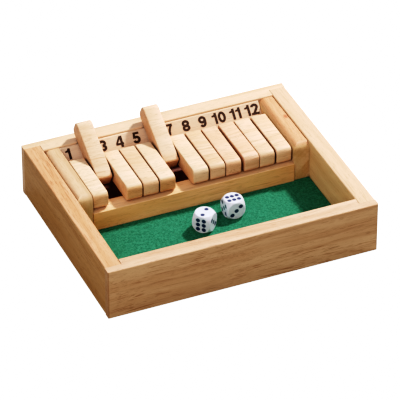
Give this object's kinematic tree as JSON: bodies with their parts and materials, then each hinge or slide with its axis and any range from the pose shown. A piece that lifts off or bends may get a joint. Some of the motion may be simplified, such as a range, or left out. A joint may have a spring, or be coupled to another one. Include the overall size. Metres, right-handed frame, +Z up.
{
  "type": "shut the box game",
  "caption": "Open wooden tray with a felt floor, a rack of flip-over tiles on a hidden rod, a sloping strip of printed numerals, and loose dice.",
  "frame": {"origin": "under the middle of the box, on the surface it stands on", "axes": "+X to the right along the front, +Y towards the back where the rack is, +Z up"},
  "size_m": [0.2066, 0.168, 0.0553],
  "materials": {
    "rubberwood": "satin lacquer",
    "tile_wood": "satin lacquer",
    "hardboard": "smooth hardboard",
    "green_felt": "matte felt",
    "black_ink": "matt printed ink",
    "steel_rod": "drawn rod",
    "ivory_plastic": "polished",
    "navy_paint": "satin paint"
  },
  "bodies": {
    "box": {"front_board": "rubberwood", "back_board": "rubberwood", "left_board": "rubberwood", "right_board": "rubberwood", "base_panel": "hardboard", "felt": "green_felt", "left_block": "rubberwood", "right_block": "rubberwood", "front_rail": "rubberwood", "number_strip": "rubberwood", "numerals": "black_ink", "axle": "steel_rod"},
    "tile_1_body": {"tile_1": "tile_wood"},
    "tile_2_body": {"tile_2": "tile_wood"},
    "tile_3_body": {"tile_3": "tile_wood"},
    "tile_4_body": {"tile_4": "tile_wood"},
    "tile_5_body": {"tile_5": "tile_wood"},
    "tile_6_body": {"tile_6": "tile_wood"},
    "tile_7_body": {"tile_7": "tile_wood"},
    "tile_8_body": {"tile_8": "tile_wood"},
    "tile_9_body": {"tile_9": "tile_wood"},
    "tile_10_body": {"tile_10": "tile_wood"},
    "tile_11_body": {"tile_11": "tile_wood"},
    "tile_12_body": {"tile_12": "tile_wood"},
    "die_left_body": {"die_left": "ivory_plastic", "die_left_pips": "navy_paint"},
    "die_right_body": {"die_right": "ivory_plastic", "die_right_pips": "navy_paint"}
  },
  "joints": [
    {"name": "tile_1_flip", "type": "hinge", "parent": "box", "child": "tile_1_body", "pos_m": [0, 0.0454, 0.0318], "axis": [-1, 0, 0], "range_deg": [0, 150.2]},
    {"name": "tile_2_flip", "type": "hinge", "parent": "box", "child": "tile_2_body", "pos_m": [0, 0.0454, 0.0318], "axis": [-1, 0, 0], "range_deg": [-150.2, 0]},
    {"name": "tile_3_flip", "type": "hinge", "parent": "box", "child": "tile_3_body", "pos_m": [0, 0.0454, 0.0318], "axis": [-1, 0, 0], "range_deg": [0, 150.2]},
    {"name": "tile_4_flip", "type": "hinge", "parent": "box", "child": "tile_4_body", "pos_m": [0, 0.0454, 0.0318], "axis": [-1, 0, 0], "range_deg": [0, 150.2]},
    {"name": "tile_5_flip", "type": "hinge", "parent": "box", "child": "tile_5_body", "pos_m": [0, 0.0454, 0.0318], "axis": [-1, 0, 0], "range_deg": [0, 150.2]},
    {"name": "tile_6_flip", "type": "hinge", "parent": "box", "child": "tile_6_body", "pos_m": [0, 0.0454, 0.0318], "axis": [-1, 0, 0], "range_deg": [-150.2, 0]},
    {"name": "tile_7_flip", "type": "hinge", "parent": "box", "child": "tile_7_body", "pos_m": [0, 0.0454, 0.0318], "axis": [-1, 0, 0], "range_deg": [0, 150.2]},
    {"name": "tile_8_flip", "type": "hinge", "parent": "box", "child": "tile_8_body", "pos_m": [0, 0.0454, 0.0318], "axis": [-1, 0, 0], "range_deg": [0, 150.2]},
    {"name": "tile_9_flip", "type": "hinge", "parent": "box", "child": "tile_9_body", "pos_m": [0, 0.0454, 0.0318], "axis": [-1, 0, 0], "range_deg": [0, 150.2]},
    {"name": "tile_10_flip", "type": "hinge", "parent": "box", "child": "tile_10_body", "pos_m": [0, 0.0454, 0.0318], "axis": [-1, 0, 0], "range_deg": [0, 150.2]},
    {"name": "tile_11_flip", "type": "hinge", "parent": "box", "child": "tile_11_body", "pos_m": [0, 0.0454, 0.0318], "axis": [-1, 0, 0], "range_deg": [0, 150.2]},
    {"name": "tile_12_flip", "type": "hinge", "parent": "box", "child": "tile_12_body", "pos_m": [0, 0.0454, 0.0318], "axis": [-1, 0, 0], "range_deg": [0, 150.2]},
    {"name": "die_left_lift", "type": "slide", "parent": "box", "child": "die_left_body", "axis": [0, 0, 1], "range_m": [0, 0.06]},
    {"name": "die_right_lift", "type": "slide", "parent": "box", "child": "die_right_body", "axis": [0, 0, 1], "range_m": [0, 0.06]}
  ]
}
